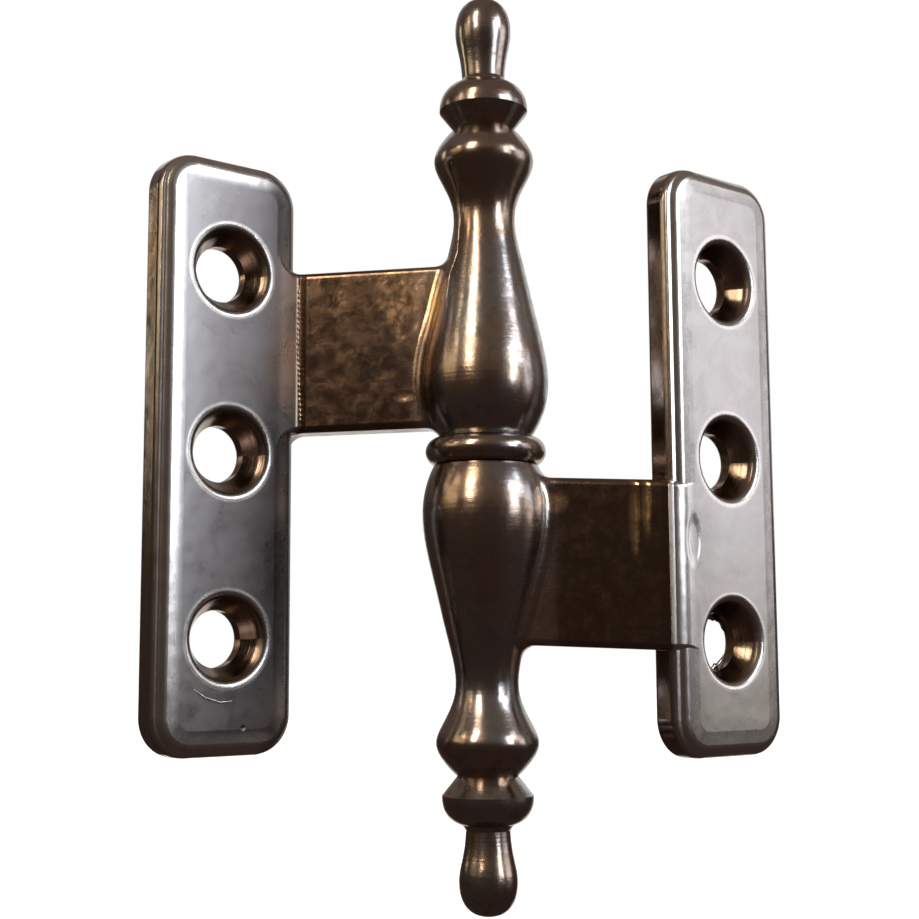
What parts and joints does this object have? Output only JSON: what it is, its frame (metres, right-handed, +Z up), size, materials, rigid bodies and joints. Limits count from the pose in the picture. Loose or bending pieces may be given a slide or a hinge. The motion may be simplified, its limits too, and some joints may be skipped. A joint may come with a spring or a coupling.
{
  "type": "lift-off hinge",
  "caption": "Decorative lift-off hinge with vase-turned knuckles, finials and bent leaves that carry a door on an upright pin.",
  "frame": {"origin": "centre of the frame leaf's middle screw hole, at the back face of its plate", "axes": "+Z up along the pin, toward the door leaf's knuckle; +Y from the countersunk faces into the wood; +X from the pin toward the frame leaf's plate"},
  "size_m": [0.0579, 0.0327, 0.0952],
  "materials": {
    "frame_leaf": "polished dark bronze",
    "door_leaf": "polished dark bronze",
    "hinge_pin": "turned",
    "bearing_ring": "polished dark bronze",
    "upper_finial": "polished dark bronze",
    "lower_finial": "polished dark bronze"
  },
  "bodies": {
    "frame": {"frame_leaf": "frame_leaf", "hinge_pin": "hinge_pin", "lower_finial": "lower_finial"},
    "ring": {"bearing_ring": "bearing_ring"},
    "door": {"door_leaf": "door_leaf", "upper_finial": "upper_finial"}
  },
  "joints": [
    {"name": "swing", "type": "hinge", "parent": "frame", "child": "ring", "pos_m": [-0.01962, 0.01203, 0.0008], "axis": [0, 0, 1], "range_deg": [-157, 167]},
    {"name": "lift", "type": "slide", "parent": "ring", "child": "door", "axis": [0, 0, 1], "range_m": [0, 0.02]}
  ]
}
